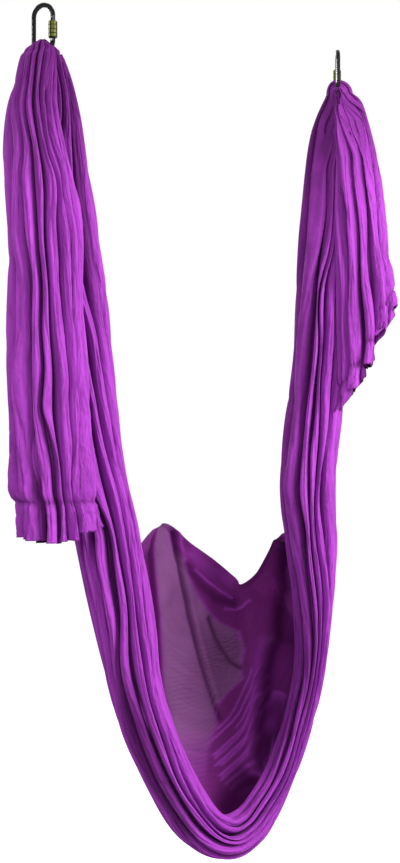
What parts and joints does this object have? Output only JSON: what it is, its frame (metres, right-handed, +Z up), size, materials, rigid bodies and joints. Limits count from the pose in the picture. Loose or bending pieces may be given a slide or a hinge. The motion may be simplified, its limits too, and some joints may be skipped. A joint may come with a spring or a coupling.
{
  "type": "aerial yoga hammock",
  "caption": "Long purple cloth hung in a deep U between two screw-lock carabiners, with gathered strands, a rolled seat with a back panel, and loose tails.",
  "frame": {"origin": "the inside of the left carabiner's crown, where the left anchor holds it", "axes": "+Z up, +X along the line of the two anchors to the right carabiner, +Y from the seat's front roll to its back panel"},
  "size_m": [0.8992, 0.3945, 1.8195],
  "materials": {
    "black_steel": "glossy black",
    "bare_steel": "bright",
    "brass_sleeve": "polished, olive-gold",
    "cloth": "fine nylon tricot with a soft sheen",
    "panel": "the same tricot in one thin layer",
    "hem": "the same tricot, gathered on a seam"
  },
  "bodies": {
    "cloth": {"left_loop": "cloth", "left_tail": "cloth", "left_tail_hem": "hem", "left_strand": "cloth", "seat_roll": "cloth", "back_panel": "panel", "right_strand": "cloth", "right_loop": "cloth", "right_tail": "cloth", "right_tail_hem": "hem"},
    "left_carabiner": {"left_carabiner_body": "black_steel"},
    "left_gate_arm": {"left_gate": "black_steel", "left_gate_rivet": "bare_steel", "left_latch_pin": "bare_steel"},
    "left_push_rod": {"left_plunger": "bare_steel", "left_gate_spring": "bare_steel"},
    "left_sleeve": {"left_lock_sleeve": "brass_sleeve"},
    "right_carabiner": {"right_carabiner_body": "black_steel"},
    "right_gate_arm": {"right_gate": "black_steel", "right_gate_rivet": "bare_steel", "right_latch_pin": "bare_steel"},
    "right_push_rod": {"right_plunger": "bare_steel", "right_gate_spring": "bare_steel"},
    "right_sleeve": {"right_lock_sleeve": "brass_sleeve"}
  },
  "joints": [
    {"name": "left_swing", "type": "hinge", "parent": "cloth", "child": "left_carabiner", "pos_m": [0, 0, -0.09425], "axis": [0.585, -0.8111, 0], "range_deg": [-20, 20]},
    {"name": "left_gate_hinge", "type": "hinge", "parent": "left_carabiner", "child": "left_gate_arm", "pos_m": [0.01375, -0.01906, -0.07025], "axis": [0.8111, 0.585, 0], "range_deg": [-27, 0], "stiffness_Nm_per_rad": 0.3, "springref_deg": 20.05},
    {"name": "left_push_rod_slide", "type": "slide", "parent": "left_gate_arm", "child": "left_push_rod", "axis": [0, 0, 1], "range_m": [0, 0.001], "deforming": ["left_gate_spring"]},
    {"name": "left_sleeve_slide", "type": "slide", "parent": "left_gate_arm", "child": "left_sleeve", "axis": [0, 0, 1], "range_m": [0, 0.014]},
    {"name": "right_swing", "type": "hinge", "parent": "cloth", "child": "right_carabiner", "pos_m": [0.735, 0, -0.09425], "axis": [0.518, 0.8554, 0], "range_deg": [-20, 20]},
    {"name": "right_gate_hinge", "type": "hinge", "parent": "right_carabiner", "child": "right_gate_arm", "pos_m": [0.74717, 0.0201, -0.07025], "axis": [-0.8554, 0.518, 0], "range_deg": [-27, 0], "stiffness_Nm_per_rad": 0.3, "springref_deg": 20.05},
    {"name": "right_push_rod_slide", "type": "slide", "parent": "right_gate_arm", "child": "right_push_rod", "axis": [0, 0, 1], "range_m": [0, 0.001], "deforming": ["right_gate_spring"]},
    {"name": "right_sleeve_slide", "type": "slide", "parent": "right_gate_arm", "child": "right_sleeve", "axis": [0, 0, 1], "range_m": [0, 0.014]}
  ],
  "couplings": [
    {"joint": "left_push_rod_slide", "follows": "left_gate_hinge", "m_per_rad": -0.0021},
    {"joint": "right_push_rod_slide", "follows": "right_gate_hinge", "m_per_rad": -0.0021}
  ]
}
